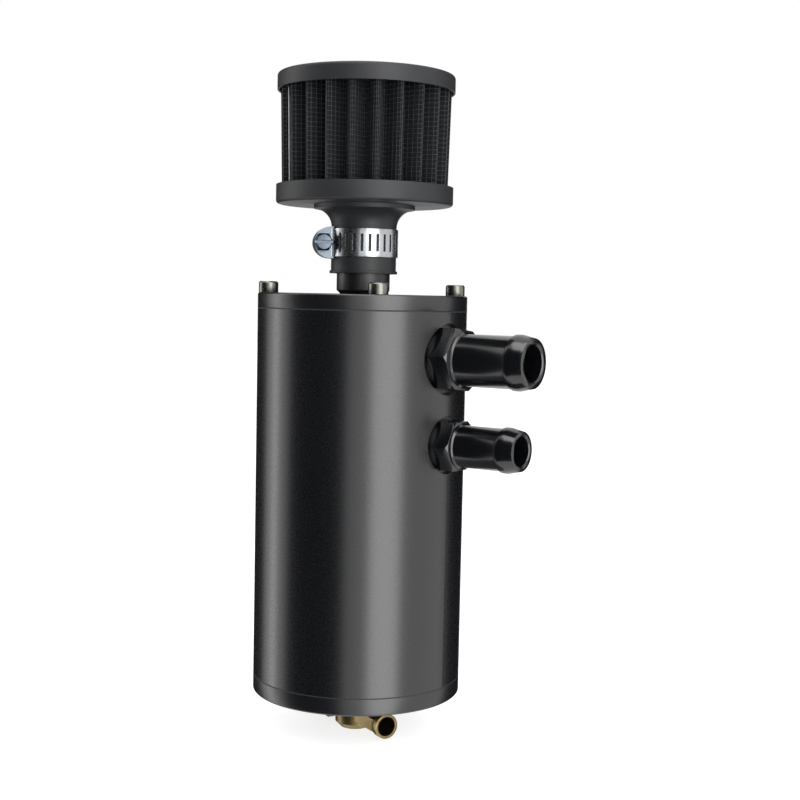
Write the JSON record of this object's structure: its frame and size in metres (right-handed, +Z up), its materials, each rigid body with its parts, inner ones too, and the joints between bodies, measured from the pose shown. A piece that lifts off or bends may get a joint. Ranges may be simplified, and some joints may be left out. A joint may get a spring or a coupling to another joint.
{
  "type": "oil catch can",
  "caption": "Round oil catch can with a clamped pleated breather filter on its lid, two barbed side hose ports and a drain valve under its base.",
  "frame": {"origin": "midway between the two mounting holes at the back, on their milled faces", "axes": "+Z up along the can, +Y out of the mounting holes, +X the way the hose ports point"},
  "size_m": [0.1096, 0.076, 0.2398],
  "materials": {
    "black_anodised_aluminium": "satin black anodised",
    "moulded_rubber": "matt moulded",
    "filter_gauze": "oiled cotton gauze under wire mesh",
    "stainless_steel": "bright",
    "zinc_plated_steel": "bright zinc",
    "brass": "as turned",
    "seal_rubber": "matt",
    "black_nylon": "moulded"
  },
  "bodies": {
    "can": {"can_body": "black_anodised_aluminium", "lid": "black_anodised_aluminium", "base_cap": "black_anodised_aluminium", "lid_seal": "seal_rubber", "base_seal": "seal_rubber", "lid_screws": "stainless_steel", "base_screws": "stainless_steel", "large_port": "black_anodised_aluminium", "small_port": "black_anodised_aluminium", "large_port_seal": "seal_rubber", "small_port_seal": "seal_rubber", "baffle_plate": "stainless_steel", "baffle_posts": "stainless_steel", "baffle_screws": "stainless_steel", "breather_spigot": "black_anodised_aluminium", "spigot_seal": "seal_rubber", "filter_base": "moulded_rubber", "filter_gauze": "filter_gauze", "filter_core": "stainless_steel", "filter_cap": "moulded_rubber", "clamp_band": "stainless_steel", "clamp_housing": "stainless_steel", "valve_seal": "seal_rubber", "valve_body": "brass", "plug_seal": "seal_rubber", "gland_nut": "brass"},
    "drain_plug": {"valve_plug": "brass", "valve_knob": "black_nylon"},
    "clamp_worm": {"clamp_screw": "zinc_plated_steel"}
  },
  "joints": [
    {"name": "drain_turn", "type": "hinge", "parent": "can", "child": "drain_plug", "pos_m": [-0.01269, -0.0308, -0.0817], "axis": [0.9063, -0.4226, 0], "range_deg": [0, 90]},
    {"name": "clamp_screw_turn", "type": "hinge", "parent": "can", "child": "clamp_worm", "pos_m": [-0.01112, -0.04709, 0.0906], "axis": [0.682, -0.7314, 0], "continuous": true}
  ]
}
